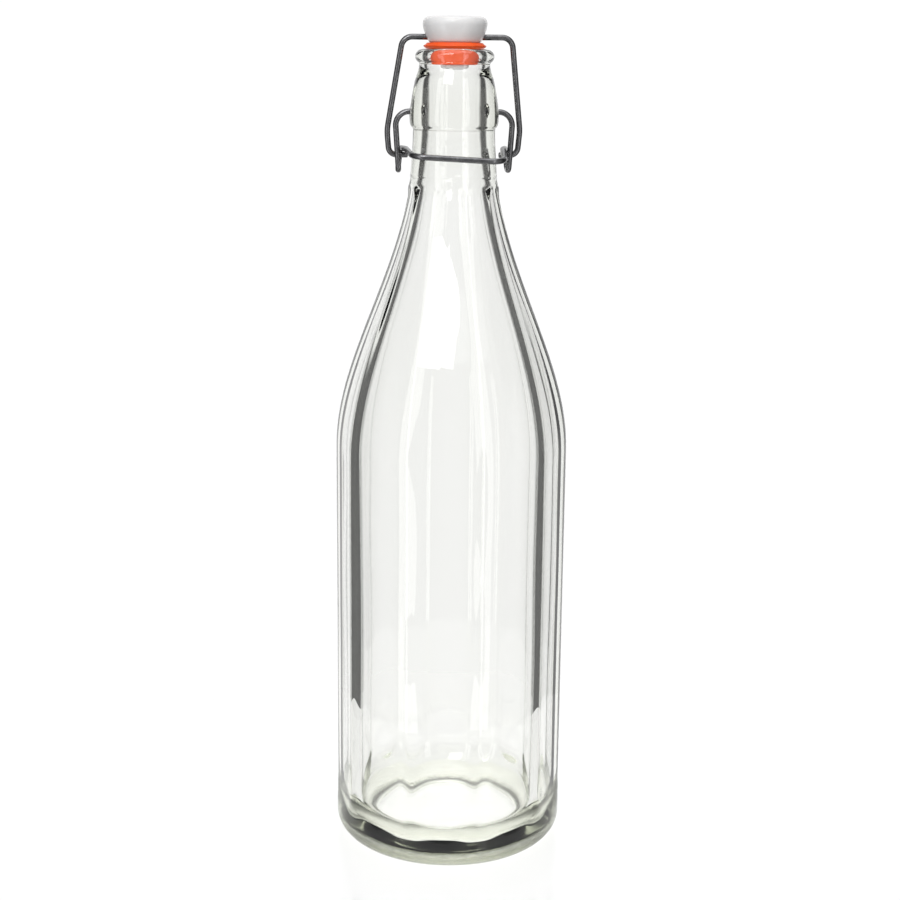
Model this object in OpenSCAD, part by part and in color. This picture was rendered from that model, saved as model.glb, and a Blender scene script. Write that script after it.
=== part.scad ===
// Swing-top growler: a ten-sided clear glass bottle closed by a stopper on a bent wire bail.
// The origin is the centre of the resting plane, the neck points along +Z, the lever's handle
// bar faces -Y and every hinge axis runs along X.

/* [Glass body] */

// radius over the ten rounded corners of the body
body_r = 45; // [35:0.1:55]
// height where the straight body turns into the shoulder
body_top = 157.3; // [100:0.1:200]
// height where the shoulder meets the neck
neck_z = 259.3; // [200:0.1:290]
// how far the facets are turned from the closure's axis
facet_turn = -7.5; // [-18:0.5:18]
// number of flat sides
sides = 10; // [6:1:12]
// radius of the rounded heel
heel_r = 8.2; // [4:0.1:14]
// outer radius of the flat ring the bottle stands on
ring_r = 37.4; // [28:0.1:42]
// width of that flat ring
ring_w = 1.8; // [0.8:0.1:4]
// depth of the dished underside
punt = 3; // [1:0.5:8]
// height of the lowest facet edge above the table
facet_low = 8; // [4:0.5:20]

/* [Glass neck] */

// neck radius at its foot
neck_r = 16.3; // [14:0.1:20]
// neck radius under the collar
neck_top_r = 15.3; // [13:0.1:18]
// height of the collar's underside
collar_z = 278.3; // [250:0.1:290]
// largest radius of the collar
collar_r = 16.6; // [15:0.1:20]
// largest radius of the lip
lip_r = 14.6; // [12:0.1:18]
// height of the lip's top face
lip_z = 306.7; // [270:0.1:320]
// radius of the bore through the neck
bore_r = 10; // [7:0.1:12]
// depth of each wire dimple, measured from the collar's side
dimple_deep = 3; // [1.5:0.1:4]

/* [Glass wall] */

// wall thickness of the body
wall = 2.8; // [2.5:0.1:7]
// thickness of the glass under the contents
floor_t = 6; // [4:0.5:12]
// radius inside the heel
floor_round = 16; // [6:0.5:18]

/* [Closure] */

// diameter of both wires
wire_d = 2.15; // [1.6:0.05:3]
// height of the lever's axis through the two dimples
pivot_z = 284.2; // [270:0.1:290]
// how far the lever's legs stand from the centre plane at the top
leg_x = 22; // [19:0.1:26]
// how much closer together they are on each side at their eyes
leg_in = 1.4; // [0:0.1:2]
// height of the hooks where the bail hangs in the lever
hook_z = 268.3; // [255:0.1:272]
// how far the hooks sit behind the lever's axis, which locks it shut
hook_y = 2.5; // [1.5:0.1:4]
// height of the centre line at the bottom of the lever's eyes
eye_z = 262.8; // [250:0.1:266]
// how far the handle bar stands in front of the neck's axis
bar_y = 22.5; // [19:0.5:32]
// half the width of the handle bar
bar_x = 16.6; // [13.5:0.1:17.5]
// height of the handle bar at the front
bar_z = 267.9; // [255:0.1:270]
// how much lower than that the hand-bent bar's right end sits, and its left end higher
bar_drop = 0.9; // [0:0.1:1.5]
// how far the bail's arms stand out at their widest
arm_x = 24.8; // [22:0.1:30]
// how far the bail's upper corners stand out
corner_x = 20.1; // [16:0.1:24]
// sideways lean of the hand-bent bail at its upper corners
bail_lean = 1; // [0:0.1:1.5]
// height of the bail's cross wire in the stopper head
cross_z = 311; // [300:0.1:316]

/* [Stopper and gasket] */

// radius of the stopper head at its widest
head_r = 11.9; // [9:0.1:14]
// height of the stopper head's top
head_top = 318.4; // [305:0.1:325]
// height of the stopper head's underside
head_low = 309; // [303:0.1:312]
// radius of the stem through the gasket
stem_r = 4; // [2.5:0.1:5]
// radius of the button that holds the gasket on the stem
button_r = 5.2; // [4:0.1:6]
// height of the button's end
button_z = 298; // [286:0.1:302]
// radius of the gasket's pointed flange
flange_r = 11.6; // [10:0.1:14]
// radius of the gasket's plug at the top
plug_r = 8.8; // [6:0.1:9]

/* [Hidden] */

$fn = 96;
wr = wire_d / 2;
run = 0.06;                                   // radial play of every wire hinge
flat = cos(180 / sides);                      // corner radius to flat distance
heel_bulge = body_r - 0.2;
steps = 12;                                   // pieces of the shoulder curve
foot_pull = 33.1;                             // how long the shoulder follows the body
neck_pull = 37.3;                             // how long it leads into the neck
neck_flare = 5;                               // how much the shoulder opens below the neck
groove_z = lip_z - 5.4;
groove_r = lip_r - 1.5;
far = 2 * body_r;
gap = 0.2;                                    // under the gasket's flange
dimple_x = collar_r - dimple_deep;
eye_x = leg_x - leg_in;
button_t = 2.9;                               // thickness of the stopper's end button
in_r = body_r * flat - wall;                  // inside radius of the body
in_top = body_top - 2;
mouth_z = button_z - 1.3;                     // where the bore opens out for the plug
mouth_r = bore_r + 0.35;

function mix(a, b, t) = a + (b - a) * t;
function curve(p, t) =
    pow(1 - t, 3) * p[0] + 3 * t * pow(1 - t, 2) * p[1]
    + 3 * t * t * (1 - t) * p[2] + t * t * t * p[3];
function arc(c, r, a, b, n) =
    [for (i = [0:n]) c + r * [cos(mix(a, b, i / n)), sin(mix(a, b, i / n))]];

shoulder = [
    [body_r, body_top],
    [body_r, body_top + foot_pull],
    [neck_r + neck_flare, neck_z - neck_pull],
    [neck_r, neck_z]
];
inner_shoulder = [
    [in_r, in_top],
    [in_r, in_top + foot_pull],
    [bore_r + neck_flare + 2.5, neck_z - neck_pull - 2],
    [bore_r + 1.3, neck_z + 4]
];

// half outline of the turned glass, from the dished underside up to the lip
function turned_outline() = concat(
    [[0, punt], [ring_r - 7, punt], [ring_r - ring_w - 1.8, 0.8], [ring_r - ring_w, 0], [ring_r, 0]],
    arc([heel_bulge - heel_r, heel_r], heel_r, -68, 0, 6),
    [[heel_bulge, facet_low + 8], [body_r + 1.2, facet_low + 14]],
    [[body_r + 1.2, body_top]],
    [for (i = [1:steps - 3]) curve(shoulder, i / steps) + [1.2, 0.6]],
    [[neck_r + 0.75, neck_z - 4.8], [neck_r + 0.15, neck_z - 0.8]],
    [[mix(neck_r, neck_top_r, 0.55), neck_z + 6], [neck_top_r, collar_z - 1.2]],
    [[neck_top_r - 0.05, collar_z], [collar_r - 0.8, collar_z + 0.4]],
    [[collar_r - 0.25, collar_z + 1.2], [collar_r - 0.05, collar_z + 2.6]],
    [[collar_r, collar_z + 4.4], [collar_r - 0.1, collar_z + 6.4]],
    [[collar_r - 0.45, collar_z + 8.8], [collar_r - 1.15, collar_z + 13.2]],
    [[collar_r - 2.1, collar_z + 17.6], [groove_r + 0.4, groove_z - 2.6]],
    [[groove_r, groove_z], [groove_r + 0.2, groove_z + 0.7]],
    arc([lip_r - 2.6, lip_z - 2.65], 2.6, -25, 76, 7),
    [[mouth_r + 0.9, lip_z], [0, lip_z]]
);

// half outline of the hollow inside
function hollow_outline() = concat(
    [[0, floor_t + 1.5], [in_r - floor_round - 6, floor_t + 0.6]],
    arc([in_r - floor_round, floor_t + floor_round], floor_round, -84, 0, 7),
    [[in_r, in_top]],
    [for (i = [1:steps - 1]) curve(inner_shoulder, i / steps)],
    [[bore_r + 1.3, neck_z + 4], [bore_r + 0.5, neck_z + 11], [bore_r, neck_z + 16]],
    [[bore_r, mouth_z], [mouth_r, mouth_z + 0.8], [mouth_r, lip_z - 1.4]],
    arc([mouth_r + 1.1, lip_z - 1.4], 1.1, 180, 112, 3),
    [[mouth_r + 1.1, lip_z + 1], [0, lip_z + 1]]
);

// half outline of the ten-sided block over its corners: it runs out past the turned outline
// at the heel and the neck
function corner_outline() = concat(
    [[0, -1], [body_r + 6, -1], [body_r + 6, facet_low - 5.5]],
    [[body_r + 2.6, facet_low], [body_r + 0.58, facet_low + 4.6], [body_r, facet_low + 9]],
    [for (i = [0:steps - 1]) curve(shoulder, i / steps)],
    [[neck_r + 0.37, neck_z - 3.2], [neck_r + 1.4, neck_z + 0.4]],
    [[neck_r + 5, neck_z + 4], [neck_r + 5, lip_z + 2], [0, lip_z + 2]]
);

module half_turn(pts) {
    rotate_extrude($fn = 180)
        polygon(pts);
}

module glass_block() {
    intersection() {
        half_turn(turned_outline());
        rotate_extrude($fn = sides)
            polygon(corner_outline());
    }
}

// the clear glass bottle
module bottle() {
    color([0.86, 0.9, 0.88, 0.4])
        difference() {
            rotate([0, 0, facet_turn])
                glass_block();
            half_turn(hollow_outline());
            // the two dimples that hold the lever's ends
            for (s = [-1, 1])
                translate([s * dimple_x, 0, pivot_z])
                    rotate([0, s * 90, 0])
                        cylinder(r = wr + run, h = collar_r, $fn = 48);
        }
}

function unit(v) = v / norm(v);
function way(p, i) = unit(p[i + 1] - p[i]);
function turn(p, i) = acos(way(p, i - 1) * way(p, i));
function cut_back(p, r, i) = r[i - 1] * tan(turn(p, i) / 2);
function plane(p, i) = unit(cross(way(p, i - 1), way(p, i)));
function roll(p, i) = atan2(cross(plane(p, i), plane(p, i + 1)) * way(p, i), plane(p, i) * plane(p, i + 1));
function run_len(p, r, i) =
    norm(p[i + 1] - p[i])
    - (i == 0 ? 0 : cut_back(p, r, i))
    - (i == len(p) - 2 ? 0 : cut_back(p, r, i + 1));

// a hair of swell where a bend starts or ends
module swell() {
    sphere(r = wr * 1.04, $fn = 48);
}

// the wire from its point i on: a straight length, then a bend towards -X, then the rest
module rest_of_wire(p, r, i) {
    length = run_len(p, r, i);
    cylinder(r = wr, h = length, $fn = 48);
    if (i > 0)
        swell();
    if (i < len(p) - 2) {
        bow = r[i];
        angle = turn(p, i + 1);
        translate([0, 0, length])
            swell();
        translate([-bow, 0, length])
            rotate([90, 0, 0])
                rotate_extrude(angle = angle, $fn = 96)
                    translate([bow, 0])
                        circle(r = wr, $fn = 48);
        translate([-bow, 0, length])
            rotate([0, -angle, 0])
                translate([bow, 0, 0])
                    rotate([0, 0, i < len(p) - 3 ? roll(p, i + 1) : 0])
                        rest_of_wire(p, r, i + 1);
    }
}

// bent wire through the points p, with the bend radii r at the points between its ends
module wire(p, r) {
    z = way(p, 0);
    y = -plane(p, 1);
    x = cross(y, z);
    multmatrix([
        [x[0], y[0], z[0], p[0][0]],
        [x[1], y[1], z[1], p[0][1]],
        [x[2], y[2], z[2], p[0][2]]
    ])
        rest_of_wire(p, r, 0);
}

// one half of the lever, from the dimple to the bar; s is its side
function lever_half(s) = [
    [s * (dimple_x + 0.3), 0, pivot_z],
    [s * leg_x, 0, pivot_z],
    [s * eye_x, 0, eye_z],
    [s * eye_x, 2 * hook_y, eye_z],
    [s * (eye_x - 0.9), 2 * hook_y, hook_z + 2.4],
    [s * (eye_x - 2.6), -3, hook_z + 2.4],
    [s * bar_x, -bar_y, bar_z - s * bar_drop]
];
lever_bends = [5, 1.8, 1.8, 1.6, 4.5, 5.5];

function backward(v) = [for (i = [len(v) - 1:-1:0]) v[i]];

// the lever: eyes for the bail, the handle bar in front and ends in the dimples
module lever_wire() {
    color([0.27, 0.27, 0.27])
        wire(
            concat(lever_half(-1), backward(lever_half(1))),
            concat(lever_bends, backward(lever_bends))
        );
}

// one half of the bail, from its hook to the upper corner
function bail_half(s) = [
    [s * (leg_x - 5), hook_y, hook_z],
    [s * (arm_x - 0.8), hook_y, hook_z],
    [s * arm_x, hook_y * 0.8, hook_z + 9],
    [s * corner_x + bail_lean, 0, cross_z]
];
bail_bends = [3, 16, 4];

// the bail: hooked in the lever's eyes, its top crosses the stopper head
module bail_wire() {
    color([0.27, 0.27, 0.27])
        wire(
            concat(bail_half(-1), backward(bail_half(1))),
            concat(bail_bends, backward(bail_bends))
        );
}

// the white head with its stem and end button
module stopper() {
    color([0.9, 0.9, 0.88])
        difference() {
            union() {
                half_turn(concat(
                    [[0, head_low], [head_r - 2.9, head_low], [head_r - 2.1, head_low + 0.5]],
                    [[head_r - 1.15, head_low + 2.4], [head_r - 0.45, head_low + 4.2]],
                    [[head_r - 0.05, head_low + 5.8]],
                    arc([head_r - 2, head_top - 2.3], 2, 0, 80, 6),
                    [[head_r - 4, head_top], [0, head_top]]
                ));
                translate([0, 0, button_z + 1])
                    cylinder(r = stem_r, h = head_low - button_z, $fn = 64);
                half_turn([
                    [0, button_z], [button_r - 1.2, button_z], [button_r - 0.35, button_z + 0.45],
                    [button_r, button_z + 1.3], [button_r, button_z + button_t], [0, button_z + button_t]
                ]);
            }
            // the hole for the bail's cross wire
            translate([-far, 0, cross_z])
                rotate([0, 90, 0])
                    cylinder(r = wr + run, h = 2 * far, $fn = 48);
        }
}

// the orange rubber seal
module gasket() {
    low = button_z + button_t + 0.05;
    color([0.88, 0.25, 0.06])
        difference() {
            half_turn([
                [0, low], [plug_r - 2, low], [plug_r - 1, low + 0.5], [plug_r - 0.4, low + 1.7],
                [plug_r, lip_z - 0.6], [plug_r, lip_z + gap], [flange_r - 1, lip_z + gap],
                [flange_r, lip_z + 1], [flange_r - 0.15, lip_z + 1.3],
                [flange_r - 1.8, head_low - 0.03], [0, head_low - 0.03]
            ]);
            translate([0, 0, low - 1])
                cylinder(r = stem_r + 0.03, h = far, $fn = 64);
        }
}

bottle();
lever_wire();
bail_wire();
stopper();
gasket();
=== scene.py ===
"""Swing-top growler: looks of the glass, wires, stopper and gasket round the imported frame."""
import math

import bmesh
import bpy
from mathutils import Matrix, Vector, noise


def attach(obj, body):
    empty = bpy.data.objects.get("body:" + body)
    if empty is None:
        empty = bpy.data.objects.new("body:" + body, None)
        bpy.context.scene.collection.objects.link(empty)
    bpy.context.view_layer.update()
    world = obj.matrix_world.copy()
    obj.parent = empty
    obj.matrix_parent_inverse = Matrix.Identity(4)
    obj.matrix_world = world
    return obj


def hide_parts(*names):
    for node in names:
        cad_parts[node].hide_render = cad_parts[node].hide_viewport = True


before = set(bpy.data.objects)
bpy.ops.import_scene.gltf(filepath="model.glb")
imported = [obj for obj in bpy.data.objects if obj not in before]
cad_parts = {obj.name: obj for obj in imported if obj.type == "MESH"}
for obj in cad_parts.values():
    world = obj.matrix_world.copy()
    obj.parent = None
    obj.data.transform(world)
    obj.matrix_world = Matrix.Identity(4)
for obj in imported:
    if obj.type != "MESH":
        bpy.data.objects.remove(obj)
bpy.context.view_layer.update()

MM = 0.001
TAU = 2 * math.pi

# ---------------------------------------------------------------- sizes, in millimetres
BODY_R, BODY_TOP, NECK_Z = 45.0, 157.3, 259.3
SIDES, FACET_TURN = 10, math.radians(-7.5)
FLAT = math.cos(math.pi / SIDES)
HEEL_R, RING_R, PUNT = 8.2, 37.4, 3.0
NECK_R, NECK_TOP_R = 16.3, 15.3
COLLAR_Z, COLLAR_R = 278.3, 16.6
LIP_R, LIP_Z = 14.6, 306.7
BORE_R, MOUTH_R, MOUTH_Z = 10.0, 10.35, 296.7
WALL, FLOOR_T, FLOOR_ROUND = 2.8, 6.0, 16.0
IN_R = BODY_R * FLAT - WALL
BULGE = BODY_R - 0.32
PIVOT_Z, LEG_X, EYE_X, EYE_Z = 284.2, 22.0, 20.6, 262.8
HOOK_Y, HOOK_Z = 2.5, 268.3
BAR_X, BAR_Y, BAR_Z, BAR_DROP = 16.6, 22.5, 267.9, 0.9
ARM_X, CORNER_X, LEAN, CROSS_Z = 24.8, 20.1, 1.0, 311.0
WIRE_R = 1.075
HEAD_R, HEAD_TOP, HEAD_LOW = 11.9, 318.4, 309.0
STEM_R, BUTTON_R, BUTTON_Z, BUTTON_T = 4.0, 5.2, 298.0, 2.9
FLANGE_R, PLUG_R = 11.6, 8.8


# studio, in metres, radians and relative brightness
TABLE_R, TABLE_DROP, TABLE_GLOW = 0.175, 0.0001, 0.5
WALL_GLOW, SIDE_GLOW, BACK_GLOW = 1.03, 0.1, 0.42
WALL_EDGE, BACK_EDGE = (0.56, 0.8), (1.35, 2.0)
# where the mould's stipple fades out, in metres: upwards, and inwards under the base
STIPPLE_TOP, STIPPLE_IN = (0.0055, 0.0085), (0.0285, 0.0305)


# ---------------------------------------------------------------- small helpers
def bezier(p, t):
    a, b, c, d = (1 - t) ** 3, 3 * t * (1 - t) ** 2, 3 * t * t * (1 - t), t ** 3
    return tuple(a * p[0][i] + b * p[1][i] + c * p[2][i] + d * p[3][i] for i in (0, 1))


def arc(cx, cz, r, a0, a1, n):
    return [
        (cx + r * math.cos(math.radians(a0 + (a1 - a0) * i / n)),
         cz + r * math.sin(math.radians(a0 + (a1 - a0) * i / n)))
        for i in range(n + 1)
    ]


def smooth_line(points, step):
    """A Catmull-Rom line through (r, z) points, sampled about every step mm."""
    p = [points[0]] + list(points) + [points[-1]]
    out = []
    for i in range(1, len(p) - 2):
        a, b, c, d = p[i - 1], p[i], p[i + 1], p[i + 2]
        n = max(1, math.ceil(math.dist(b, c) / step))
        for k in range(n):
            t = k / n
            out.append(tuple(
                0.5 * (2 * b[j] + (c[j] - a[j]) * t
                       + (2 * a[j] - 5 * b[j] + 4 * c[j] - d[j]) * t * t
                       + (3 * b[j] - a[j] - 3 * c[j] + d[j]) * t ** 3)
                for j in (0, 1)))
    out.append(points[-1])
    return out


def straight_line(points, step):
    """Straight lengths between (r, z) points, sampled about every step mm."""
    out = [points[0]]
    for a, b in zip(points[:-1], points[1:]):
        n = max(1, math.ceil(math.dist(a, b) / step))
        for k in range(1, n + 1):
            out.append((a[0] + (b[0] - a[0]) * k / n, a[1] + (b[1] - a[1]) * k / n))
    return out


def new_object(name, verts, faces, body, cad_node):
    """A smooth mesh object that rides on a body and stands in for one CAD node."""
    me = bpy.data.meshes.new(name)
    me.from_pydata([Vector(v) * MM for v in verts], [], faces)
    me.validate()
    bm = bmesh.new()
    bm.from_mesh(me)
    bmesh.ops.recalc_face_normals(bm, faces=bm.faces)
    bm.to_mesh(me)
    bm.free()
    for poly in me.polygons:
        poly.use_smooth = True
    ob = bpy.data.objects.new(name, me)
    bpy.context.scene.collection.objects.link(ob)
    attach(ob, body)
    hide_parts(cad_node)
    return ob


def rings_to_mesh(rings):
    """Quads between rings of points of the same length, with a fan at each end."""
    n = len(rings[0])
    verts = [p for r in rings for p in r]
    faces = []
    for i in range(len(rings) - 1):
        for k in range(n):
            k2 = (k + 1) % n
            faces.append((i * n + k, i * n + k2, (i + 1) * n + k2, (i + 1) * n + k))
    for end in (0, len(rings) - 1):
        c = [sum(p[j] for p in rings[end]) / n for j in range(3)]
        verts.append(tuple(c))
        m = len(verts) - 1
        for k in range(n):
            faces.append((end * n + k, end * n + (k + 1) % n, m))
    return verts, faces


def turned_rings(outline, n):
    """One ring of n points for each (r, z) of a turned piece's outline."""
    return [[(r * math.cos(TAU * k / n), r * math.sin(TAU * k / n), z) for k in range(n)]
            for r, z in outline]


def node(nt, kind, **values):
    nd = nt.nodes.new(kind)
    for key, value in values.items():
        if key in nd.inputs:
            nd.inputs[key].default_value = value
        else:
            setattr(nd, key, value)
    return nd


def span(nt, fac, lo, hi, a=0.0, b=1.0, kind="LINEAR"):
    nd = node(nt, "ShaderNodeMapRange", interpolation_type=kind)
    for key, v in (("From Min", lo), ("From Max", hi), ("To Min", a), ("To Max", b)):
        nd.inputs[key].default_value = v
    nt.links.new(fac, nd.inputs["Value"])
    return nd.outputs[0]


def math_node(nt, operation, a, b=None):
    nd = node(nt, "ShaderNodeMath", operation=operation)
    for socket, value in zip(nd.inputs, (a, b)):
        if isinstance(value, float):
            socket.default_value = value
        elif value is not None:
            nt.links.new(value, socket)
    return nd.outputs[0]


# ---------------------------------------------------------------- camera, floor and light
def camera_and_studio():
    scene = bpy.context.scene
    cam = bpy.data.objects.new("camera", bpy.data.cameras.new("camera"))
    scene.collection.objects.link(cam)
    cam.data.sensor_width = 36
    cam.data.lens = 66.06
    dist, height, swing = 0.624, 0.2987, math.radians(5)
    pitch, turn, roll = 0.2253, -0.0006, 0.0095
    fwd = Vector((math.sin(turn) * math.cos(pitch), math.cos(turn) * math.cos(pitch),
                  -math.sin(pitch)))
    right = fwd.cross(Vector((0, 0, 1))).normalized()
    up = right.cross(fwd)
    r2 = math.cos(roll) * right + math.sin(roll) * up
    u2 = -math.sin(roll) * right + math.cos(roll) * up
    m = Matrix((r2, u2, -fwd)).transposed().to_4x4()
    m.translation = Vector((0, -dist, height))
    cam.matrix_world = Matrix.Rotation(-swing, 4, "Z") @ m
    cam.data.clip_start, cam.data.clip_end = 0.01, 50
    scene.camera = cam
    scene.view_settings.view_transform = "Standard"
    scene.view_settings.look = "None"

    # a plain pale table top
    n, radius = 128, TABLE_R
    verts = [(0, 0, 0)] + [
        (radius * math.cos(TAU * k / n), radius * math.sin(TAU * k / n), 0) for k in range(n)]
    me = bpy.data.meshes.new("floor")
    me.from_pydata(verts, [], [(0, 1 + k, 1 + (k + 1) % n) for k in range(n)])
    floor = bpy.data.objects.new("floor", me)
    floor.location.z = -TABLE_DROP
    floor.rotation_euler.z = -swing
    scene.collection.objects.link(floor)
    mat = bpy.data.materials.new("floor")
    mat.use_nodes = True
    b = mat.node_tree.nodes["Principled BSDF"]
    b.inputs["Base Color"].default_value = (0.42, 0.42, 0.42, 1)
    b.inputs["Roughness"].default_value = 0.12
    b.inputs["Specular IOR Level"].default_value = 0.5
    b.inputs["Emission Color"].default_value = (1, 1, 1, 1)
    me.materials.append(mat)
    b.inputs["Emission Strength"].default_value = TABLE_GLOW

    # the room: a white wall behind the bottle, dark sides, a dim wall behind the camera
    world = bpy.data.worlds.new("room")
    scene.world = world
    world.use_nodes = True
    nt = world.node_tree
    nt.nodes.clear()
    out = nt.nodes.new("ShaderNodeOutputWorld")
    bg = nt.nodes.new("ShaderNodeBackground")
    nt.links.new(bg.outputs[0], out.inputs[0])
    looking = node(nt, "ShaderNodeTexCoord").outputs["Generated"]
    across = node(nt, "ShaderNodeVectorMath", operation="DOT_PRODUCT")
    across.inputs[1].default_value = (math.cos(swing), -math.sin(swing), 0)
    nt.links.new(looking, across.inputs[0])
    ahead = node(nt, "ShaderNodeVectorMath", operation="DOT_PRODUCT")
    ahead.inputs[1].default_value = (math.sin(swing), math.cos(swing), 0)
    nt.links.new(looking, ahead.inputs[0])
    angle = math_node(nt, "ABSOLUTE", math_node(
        nt, "ARCTAN2", across.outputs["Value"], ahead.outputs["Value"]))
    wall = span(nt, angle, *WALL_EDGE, WALL_GLOW, SIDE_GLOW, "SMOOTHSTEP")
    behind = span(nt, angle, *BACK_EDGE, 0.0, BACK_GLOW, "SMOOTHSTEP")
    nt.links.new(math_node(nt, "ADD", wall, behind), bg.inputs["Strength"])
    bg.inputs["Color"].default_value = (1, 1, 1, 1)

    def softbox(name, at, size, size_y, power, aim=(0, 0, 0.17)):
        light = bpy.data.lights.new(name, "AREA")
        light.shape = "RECTANGLE"
        light.size, light.size_y, light.energy = size, size_y, power
        ob = bpy.data.objects.new(name, light)
        ob.location = at
        ob.rotation_euler = (Vector(aim) - Vector(at)).to_track_quat("-Z", "Y").to_euler()
        scene.collection.objects.link(ob)

    softbox("soft_top", (0.1, -0.3, 1.6), 1.4, 1.4, 11)
    softbox("soft_front", (-0.5, -1.1, 1.2), 0.7, 0.7, 9)
    softbox("strip_left", (-0.92, -0.77, 0.15), 0.22, 1.8, 3.0, (0, 0, 0.15))
    softbox("strip_right", (0.62, -1.03, 0.15), 0.2, 1.8, 2.6, (0, 0, 0.15))


# ---------------------------------------------------------------- glass
SHOULDER = ((BODY_R, BODY_TOP), (BODY_R, BODY_TOP + 33.1),
            (NECK_R + 5, NECK_Z - 37.3), (NECK_R, NECK_Z))
INNER_SHOULDER = ((IN_R, BODY_TOP - 2), (IN_R, BODY_TOP + 31.1),
                  (BORE_R + 7.5, NECK_Z - 39.3), (BORE_R + 1.3, NECK_Z + 4))


def power_min(a, b, q):
    """The smaller of two radii, with the edge between them rounded."""
    a, b = min(a, b), max(a, b)
    return a * (1 + (a / b) ** q) ** (-1 / q)


def facet_radius(angle, corner):
    """Radius of the ten-sided section with softly rounded corners."""
    flat = corner * FLAT
    step = TAU / SIDES
    a = (angle - FACET_TURN - math.pi / SIDES) % step
    a = min(a, step - a)
    p = 62.0
    return ((math.cos(a) / flat) ** p + (math.cos(step - a) / flat) ** p) ** (-1 / p)


def outer_rows():
    """Rows of the outside, from the middle of the underside to the lip: (z, round radius,
    corner radius of the facets)."""
    rows = []
    for r in (2, 6, 11, 17, 23, 27, 29.5):
        rows.append((PUNT + 0.25 * (1 - (r / 29.5) ** 2), r, 1e6))
    for r, z in ((30.6, 2.85), (31.7, 2.2), (32.8, 1.45), (33.8, 0.8), (34.8, 0.3), (35.6, 0.04),
                 (36.4, 0.0), (37.2, 0.0), (37.8, 0.06)):
        rows.append((z, r, 1e6))
    for r, z in arc(BULGE - HEEL_R, HEEL_R, HEEL_R, -77, 0, 26):
        rows.append((z, r, None))
    z = HEEL_R
    while z < NECK_Z + 1.2:
        z += 0.45 if z < 20 or z > NECK_Z - 12 else 1.6
        rows.append((z, None, None))
    neck = smooth_line([
        (NECK_R + 0.02, NECK_Z + 1.2), (15.85, NECK_Z + 6), (15.5, NECK_Z + 12),
        (NECK_TOP_R + 0.02, COLLAR_Z - 2.2), (NECK_TOP_R, COLLAR_Z - 0.6),
        (NECK_TOP_R + 0.18, COLLAR_Z - 0.05), (COLLAR_R - 0.85, COLLAR_Z + 0.3),
        (COLLAR_R - 0.42, COLLAR_Z + 0.8), (COLLAR_R - 0.15, COLLAR_Z + 1.8),
        (COLLAR_R - 0.02, COLLAR_Z + 3.2), (COLLAR_R, COLLAR_Z + 4.8),
        (COLLAR_R - 0.12, COLLAR_Z + 6.6), (COLLAR_R - 0.48, COLLAR_Z + 9.0),
        (COLLAR_R - 1.15, COLLAR_Z + 13.2), (COLLAR_R - 2.1, COLLAR_Z + 17.6),
        (LIP_R - 1.05, LIP_Z - 8.0), (LIP_R - 1.45, LIP_Z - 6.2), (LIP_R - 1.5, LIP_Z - 5.4),
        (LIP_R - 1.3, LIP_Z - 4.9), (LIP_R - 0.6, LIP_Z - 4.3), (LIP_R - 0.15, LIP_Z - 3.5),
        (LIP_R, LIP_Z - 2.6), (LIP_R - 0.15, LIP_Z - 1.8), (LIP_R - 0.6, LIP_Z - 1.0),
        (LIP_R - 1.3, LIP_Z - 0.4), (LIP_R - 2.2, LIP_Z - 0.08), (MOUTH_R + 1.3, LIP_Z),
        (MOUTH_R + 0.75, LIP_Z - 0.1), (MOUTH_R + 0.25, LIP_Z - 0.6), (MOUTH_R, LIP_Z - 1.4)],
        0.42)[1:]
    return rows, neck


def shoulder_radius(z):
    """Corner radius of the shoulder, and of the neck above it."""
    if z > NECK_Z:
        return NECK_R - (z - NECK_Z) * 0.07
    lo, hi = 0.0, 1.0
    for _ in range(30):
        mid = (lo + hi) / 2
        if bezier(SHOULDER, mid)[1] < z:
            lo = mid
        else:
            hi = mid
    return bezier(SHOULDER, (lo + hi) / 2)[0]


def block_radius(z):
    """Corner radius of the ten-sided block, which runs out past the round glass at the heel
    and at the neck."""
    if z < 22:
        t = (22 - z) / 11
        return BODY_R + 0.1 * t + 2.1 * t ** 2
    if z <= BODY_TOP:
        return BODY_R
    over = max(0.0, z - (NECK_Z - 7)) / 7
    return shoulder_radius(min(z, NECK_Z)) + 1.5 * over ** 1.8


def round_radius(z):
    """Radius of the turned glass the facets are cut from."""
    if z < BODY_TOP:
        return BULGE + 1.5 * min(1.0, max(0.0, (z - 16) / 6))
    r = shoulder_radius(z)
    return r + 1.1 * min(1.0, max(0.0, (NECK_Z - z) / 9))


def waviness(x, y, z, amount, size):
    """The slow unevenness of blown glass."""
    return amount * noise.noise(Vector((x / size, y / size, z / (size * 2.2))))


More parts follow.
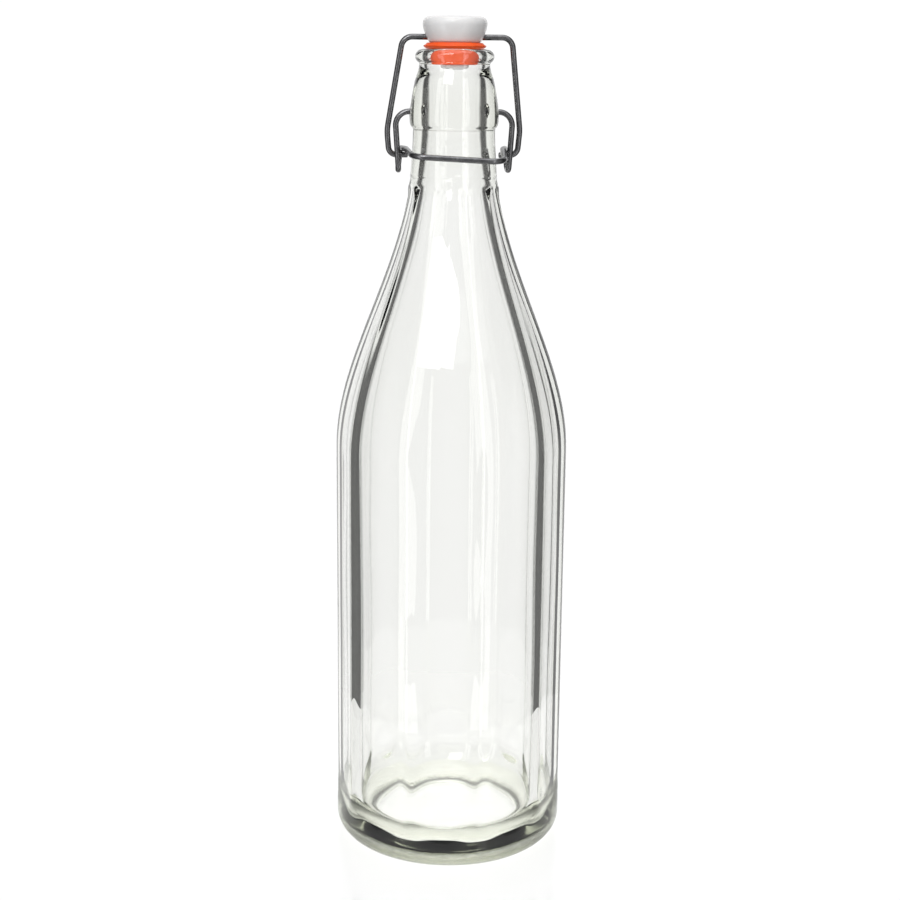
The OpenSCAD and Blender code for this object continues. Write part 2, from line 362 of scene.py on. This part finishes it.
def make_bottle():
    """One closed mesh: up the outside from the underside to the lip, then down the inside."""
    n = 480
    angles = [TAU * k / n for k in range(n)]
    rings = []
    rows, neck = outer_rows()
    for z, r, corner in rows:
        ring = []
        if r is None:
            r = round_radius(z)
        cr = block_radius(z) if corner is None else None
        blend = 220 if z > 40 else 120 + 100 * max(0.0, (z - 20) / 20)
        for a in angles:
            rr = r if cr is None else power_min(facet_radius(a, cr), r, blend)
            x, y = rr * math.cos(a), rr * math.sin(a)
            if z > 4:
                d = waviness(x, y, z, 0.07, 26) * min(1.0, max(0.0, (z - 12) / 10))
                x, y = x + d * math.cos(a), y + d * math.sin(a)
            # fine ribs on the ring it stands on
            dz = 0.0
            if 34.5 < r < 40.5 and z < 2.2:
                rib = max(0.0, 1 - abs(r - 37.4) / 3.0)
                dz = 0.28 * rib * (0.5 + 0.5 * math.cos(a * 120))
            ring.append((x, y, z + dz))
        rings.append(ring)
    for r, z in neck:
        ring = []
        for a in angles:
            rr = r
            # the two dimples the lever's ends sit in
            side = abs(math.sin(a))
            if abs(z - PIVOT_Z) < 2.2 and r > 14:
                d = math.hypot(r * side, z - PIVOT_Z)
                t = min(1.0, max(0.0, (1.75 - d) / 0.5))
                rr -= 2.9 * t * t * (3 - 2 * t)
            ring.append((rr * math.cos(a), rr * math.sin(a), z))
        rings.append(ring)
    inner = [(MOUTH_R, LIP_Z - 1.4), (MOUTH_R, LIP_Z - 5), (MOUTH_R - 0.02, MOUTH_Z + 1.2),
             (BORE_R + 0.1, MOUTH_Z + 0.2), (BORE_R, MOUTH_Z - 1.5), (BORE_R, NECK_Z + 20),
             (BORE_R + 0.1, NECK_Z + 16), (BORE_R + 0.6, NECK_Z + 10), (BORE_R + 1.3, NECK_Z + 4)]
    inner += [bezier(INNER_SHOULDER, 1 - t / 26) for t in range(1, 26)]
    inner += [(IN_R, BODY_TOP - 2), (IN_R, 110), (IN_R, 60), (IN_R, 30),
              (IN_R, FLOOR_T + FLOOR_ROUND + 3)]
    inner += [(r, z) for r, z in arc(IN_R - FLOOR_ROUND, FLOOR_T + FLOOR_ROUND, FLOOR_ROUND,
                                     -4, -68, 18)]
    inner += smooth_line([
        (IN_R - FLOOR_ROUND + 4.8, FLOOR_T + 0.75), (27, FLOOR_T + 0.42), (24.5, FLOOR_T + 0.3),
        (22, FLOOR_T + 0.36), (18, FLOOR_T + 0.66), (12, FLOOR_T + 1.08), (5, FLOOR_T + 1.42),
        (1.2, FLOOR_T + 1.5)], 1.2)
    for r, z in straight_line(inner, 2.4)[1:]:
        ring = []
        for a in angles:
            rr = r
            if z < NECK_Z - 4 and r > 16:
                x, y = r * math.cos(a), r * math.sin(a)
                # the inside follows the facets a little, and is wavy as blown glass is
                soft = 0.32 * math.cos((a - FACET_TURN) * SIDES) * min(1.0, (r - 16) / 12)
                rr += -0.05 + soft * (1 if z > 22 else max(0.0, (z - 14) / 8))
                rr += waviness(x, y, z, 0.22, 19)
            ring.append((rr * math.cos(a), rr * math.sin(a), z))
        rings.append(ring)
    verts, faces = rings_to_mesh(rings)
    return new_object("bottle_glass", verts, faces, "glass", "bottle")


# ---------------------------------------------------------------- wires
def rounded_path(points, radii):
    """Points along a bent wire: straight lengths joined by an arc at each inner point."""
    pts = [Vector(p) for p in points]
    out = [pts[0]]
    for i in range(1, len(pts) - 1):
        a, b, c = pts[i - 1], pts[i], pts[i + 1]
        u, v = (a - b).normalized(), (c - b).normalized()
        turn = math.pi - u.angle(v)
        cut = radii[i - 1] * math.tan(turn / 2)
        start = b + u * cut
        centre = b + (u + v).normalized() * radii[i - 1] / math.cos(turn / 2)
        axis = v.cross(u).normalized()
        n = max(3, math.ceil(turn / math.radians(9)))
        for k in range(n + 1):
            rot = Matrix.Rotation(turn * k / n, 3, axis)
            p = centre + rot @ (start - centre)
            out.append(p)
    out.append(pts[-1])
    fine = [out[0]]
    for a, b in zip(out[:-1], out[1:]):
        n = max(1, math.ceil((b - a).length / 1.2))
        for k in range(1, n + 1):
            fine.append(a.lerp(b, k / n))
    return fine


def wire_mesh(name, points, radii, body, cad_node):
    """A round wire along a path, with slightly rounded ends."""
    path = rounded_path(points, radii)
    sides = 28
    tang = []
    for i in range(len(path)):
        a, b = path[max(0, i - 1)], path[min(len(path) - 1, i + 1)]
        tang.append((b - a).normalized())
    ref = tang[0].orthogonal().normalized()
    rings = []
    ends = [(0.0, 0.55), (0.12, 0.86), (0.32, 0.985)]
    for i, (p, t) in enumerate(zip(path, tang)):
        ref = (ref - t * ref.dot(t)).normalized()
        side = t.cross(ref)
        ring = [p + (ref * math.cos(TAU * k / sides) + side * math.sin(TAU * k / sides)) * WIRE_R
                for k in range(sides)]
        if i == 0:
            for off, s in ends:
                rings.append([p + (q - p) * s + t * off for q in ring])
        elif i == len(path) - 1:
            for off, s in reversed(ends):
                rings.append([p + (q - p) * s - t * off for q in ring])
        else:
            rings.append(ring)
    verts, faces = rings_to_mesh([[tuple(q) for q in r] for r in rings])
    return new_object(name, verts, faces, body, cad_node)


def make_wires():
    def lever_half(s):
        return [(s * (COLLAR_R - 3 + 0.3), 0, PIVOT_Z), (s * LEG_X, 0, PIVOT_Z),
                (s * EYE_X, 0, EYE_Z), (s * EYE_X, 2 * HOOK_Y, EYE_Z),
                (s * (EYE_X - 0.9), 2 * HOOK_Y, HOOK_Z + 2.4),
                (s * (EYE_X - 2.6), -3, HOOK_Z + 2.4),
                (s * BAR_X, -BAR_Y, BAR_Z - s * BAR_DROP)]

    def bail_half(s):
        return [(s * (LEG_X - 5), HOOK_Y, HOOK_Z), (s * (ARM_X - 0.8), HOOK_Y, HOOK_Z),
                (s * ARM_X, HOOK_Y * 0.8, HOOK_Z + 9), (s * CORNER_X + LEAN, 0, CROSS_Z)]

    lever = [5, 1.8, 1.8, 1.6, 4.5, 5.5]
    bail = [3, 16, 4]
    a = wire_mesh("lever", lever_half(-1) + lever_half(1)[::-1], lever + lever[::-1],
                  "lever", "lever_wire")
    b = wire_mesh("bail", bail_half(-1) + bail_half(1)[::-1], bail + bail[::-1],
                  "bail", "bail_wire")
    return [a, b]


# ---------------------------------------------------------------- stopper and gasket
def make_stopper():
    outline = smooth_line([
        (0.6, BUTTON_Z), (2.4, BUTTON_Z + 0.02), (3.8, BUTTON_Z + 0.1), (4.6, BUTTON_Z + 0.4),
        (BUTTON_R - 0.12, BUTTON_Z + 1.0), (BUTTON_R, BUTTON_Z + 1.7),
        (BUTTON_R - 0.02, BUTTON_Z + BUTTON_T - 0.1)], 0.3)
    outline += [(STEM_R, BUTTON_Z + BUTTON_T - 0.02), (STEM_R, BUTTON_Z + 5), (STEM_R, HEAD_LOW)]
    outline += smooth_line([
        (STEM_R + 0.5, HEAD_LOW), (HEAD_R - 3.4, HEAD_LOW), (HEAD_R - 2.7, HEAD_LOW + 0.1),
        (HEAD_R - 2.15, HEAD_LOW + 0.55), (HEAD_R - 1.6, HEAD_LOW + 1.5),
        (HEAD_R - 0.9, HEAD_LOW + 3.1), (HEAD_R - 0.4, HEAD_LOW + 4.6),
        (HEAD_R - 0.06, HEAD_LOW + 6.1), (HEAD_R - 0.03, HEAD_TOP - 2.3),
        (HEAD_R - 0.3, HEAD_TOP - 1.35), (HEAD_R - 0.9, HEAD_TOP - 0.6),
        (HEAD_R - 1.8, HEAD_TOP - 0.15), (HEAD_R - 3.0, HEAD_TOP - 0.02),
        (HEAD_R - 4.4, HEAD_TOP - 0.06), (5.5, HEAD_TOP - 0.25),
        (4.6, HEAD_TOP - 0.5), (2.5, HEAD_TOP - 0.6), (0.6, HEAD_TOP - 0.6)], 0.35)
    verts, faces = rings_to_mesh(turned_rings(outline, 192))
    return new_object("stopper_head", verts, faces, "head", "stopper")


def make_gasket():
    low = BUTTON_Z + BUTTON_T + 0.03
    outline = smooth_line([
        (STEM_R + 0.05, low + 0.2), (STEM_R + 0.4, low), (PLUG_R - 2.4, low),
        (PLUG_R - 1.2, low + 0.12), (PLUG_R - 0.55, low + 0.6), (PLUG_R - 0.2, low + 1.5),
        (PLUG_R + 0.1, low + 3.2), (PLUG_R + 0.4, LIP_Z - 0.9)], 0.3)
    outline += smooth_line([
        (PLUG_R + 0.6, LIP_Z - 0.15), (PLUG_R + 0.95, LIP_Z + 0.12),
        (FLANGE_R - 1.1, LIP_Z + 0.2), (FLANGE_R - 0.4, LIP_Z + 0.6),
        (FLANGE_R - 0.03, LIP_Z + 1.0)], 0.3)
    outline += smooth_line([
        (FLANGE_R, LIP_Z + 1.1), (FLANGE_R - 0.14, LIP_Z + 1.28), (FLANGE_R - 0.9, LIP_Z + 1.75),
        (FLANGE_R - 1.85, HEAD_LOW - 0.02), (STEM_R + 0.3, HEAD_LOW - 0.02),
        (STEM_R + 0.05, HEAD_LOW - 0.2)], 0.3)
    outline += [(STEM_R + 0.05, LIP_Z)]
    # the outline closes on itself, so this one is a tube with no ends
    n = 160
    rings = turned_rings(outline, n)
    verts = [p for r in rings for p in r]
    faces = []
    m = len(rings)
    for i in range(m):
        j = (i + 1) % m
        for k in range(n):
            k2 = (k + 1) % n
            faces.append((i * n + k, i * n + k2, j * n + k2, j * n + k))
    return new_object("gasket_ring", verts, faces, "head", "gasket")


# ---------------------------------------------------------------- materials
def material(name):
    """A new material, its node tree and its Principled shader."""
    mat = bpy.data.materials.new(name)
    mat.use_nodes = True
    nt = mat.node_tree
    return mat, nt, nt.nodes["Principled BSDF"]


def noise_tex(nt, coord, scale, detail=3.0, rough=0.55, stretch=(1, 1, 1)):
    mp = node(nt, "ShaderNodeMapping")
    mp.inputs["Scale"].default_value = stretch
    nt.links.new(coord, mp.inputs["Vector"])
    tex = node(nt, "ShaderNodeTexNoise", Scale=scale, Detail=detail, Roughness=rough)
    nt.links.new(mp.outputs[0], tex.inputs["Vector"])
    return tex.outputs["Fac"]


def ramp(nt, fac, stops):
    nd = nt.nodes.new("ShaderNodeValToRGB")
    el = nd.color_ramp.elements
    while len(el) < len(stops):
        el.new(0.5)
    for e, (pos, col) in zip(el, stops):
        e.position = pos
        e.color = (*col, 1) if len(col) == 3 else col
    nt.links.new(fac, nd.inputs["Fac"])
    return nd.outputs["Color"]


def bump(nt, height, strength, distance, normal=None):
    nd = node(nt, "ShaderNodeBump", Strength=strength, Distance=distance)
    nt.links.new(height, nd.inputs["Height"])
    if normal is not None:
        nt.links.new(normal, nd.inputs["Normal"])
    return nd.outputs[0]


def glass_material():
    mat, nt, b = material("clear_glass")
    obj = node(nt, "ShaderNodeTexCoord").outputs["Object"]
    b.inputs["Transmission Weight"].default_value = 1.0
    b.inputs["IOR"].default_value = 1.52
    split = node(nt, "ShaderNodeSeparateXYZ")
    nt.links.new(obj, split.inputs[0])
    # the lowest few millimetres are stippled by the mould and look faintly green
    off_axis = math_node(nt, "SQRT", math_node(
        nt, "ADD", math_node(nt, "POWER", math_node(nt, "ABSOLUTE", split.outputs[0]), 2.0),
        math_node(nt, "POWER", math_node(nt, "ABSOLUTE", split.outputs[1]), 2.0)))
    low = math_node(nt, "MULTIPLY",
                    span(nt, split.outputs[2], *STIPPLE_TOP, 1.0, 0.0, "SMOOTHSTEP"),
                    span(nt, off_axis, *STIPPLE_IN, 0.0, 1.0, "SMOOTHSTEP"))
    grain = noise_tex(nt, obj, 620.0, 4.0, 0.6, (1, 1, 1.6))
    nt.links.new(ramp(nt, math_node(nt, "MULTIPLY", low, grain),
                      [(0.0, (1, 1, 1)), (0.55, (0.96, 0.97, 0.88))]), b.inputs["Base Color"])
    rough = noise_tex(nt, obj, 90.0, 4.0, 0.6)
    nt.links.new(math_node(nt, "ADD", span(nt, rough, 0.62, 0.8, 0.0, 0.03),
                           math_node(nt, "MULTIPLY", low, 0.2)), b.inputs["Roughness"])
    waves = noise_tex(nt, obj, 34.0, 2.0, 0.5, (1, 1, 0.35))
    stipple = bump(nt, math_node(nt, "MULTIPLY", low, grain), 0.5, 0.0006)
    nt.links.new(bump(nt, waves, 0.05, 0.0006, stipple), b.inputs["Normal"])
    vol = node(nt, "ShaderNodeVolumeAbsorption", Density=26.0)
    vol.inputs["Color"].default_value = (0.66, 0.69, 0.55, 1)
    nt.links.new(vol.outputs[0], nt.nodes["Material Output"].inputs["Volume"])
    return mat


def wire_material():
    mat, nt, b = material("dark_wire")
    obj = node(nt, "ShaderNodeTexCoord").outputs["Object"]
    b.inputs["Metallic"].default_value = 1.0
    tone = noise_tex(nt, obj, 420.0, 5.0, 0.65)
    nt.links.new(ramp(nt, tone, [(0.3, (0.11, 0.11, 0.115)), (0.7, (0.19, 0.19, 0.195))]),
                 b.inputs["Base Color"])
    fine = noise_tex(nt, obj, 2600.0, 4.0, 0.7)
    nt.links.new(span(nt, fine, 0.3, 0.75, 0.2, 0.32), b.inputs["Roughness"])
    nt.links.new(bump(nt, fine, 0.12, 0.00006), b.inputs["Normal"])
    return mat


def head_material():
    mat, nt, b = material("white_head")
    obj = node(nt, "ShaderNodeTexCoord").outputs["Object"]
    tone = noise_tex(nt, obj, 150.0, 4.0, 0.6)
    nt.links.new(ramp(nt, tone, [(0.25, (0.64, 0.635, 0.635)), (0.75, (0.71, 0.705, 0.705))]),
                 b.inputs["Base Color"])
    fine = noise_tex(nt, obj, 1500.0, 3.0, 0.6)
    nt.links.new(span(nt, fine, 0.3, 0.7, 0.2, 0.28), b.inputs["Roughness"])
    b.inputs["Subsurface Weight"].default_value = 0.12
    b.inputs["Subsurface Radius"].default_value = (1, 0.9, 0.8)
    b.inputs["Subsurface Scale"].default_value = 0.0012
    nt.links.new(bump(nt, fine, 0.06, 0.00004), b.inputs["Normal"])
    return mat


def seal_material():
    mat, nt, b = material("orange_rubber")
    obj = node(nt, "ShaderNodeTexCoord").outputs["Object"]
    tone = noise_tex(nt, obj, 260.0, 4.0, 0.6)
    nt.links.new(ramp(nt, tone, [(0.25, (0.8, 0.07, 0.002)), (0.75, (0.92, 0.105, 0.004))]),
                 b.inputs["Base Color"])
    fine = noise_tex(nt, obj, 2200.0, 4.0, 0.65)
    nt.links.new(span(nt, fine, 0.3, 0.7, 0.38, 0.55), b.inputs["Roughness"])
    nt.links.new(bump(nt, fine, 0.2, 0.00005), b.inputs["Normal"])
    return mat


camera_and_studio()
bottle = make_bottle()
# clear glass lets the lamps through to the gasket inside the mouth
bottle.visible_shadow = False
wires = make_wires()
stopper = make_stopper()
gasket = make_gasket()
bottle.data.materials.append(glass_material())
steel = wire_material()
for w in wires:
    w.data.materials.append(steel)
stopper.data.materials.append(head_material())
gasket.data.materials.append(seal_material())

bpy.context.view_layer.update()
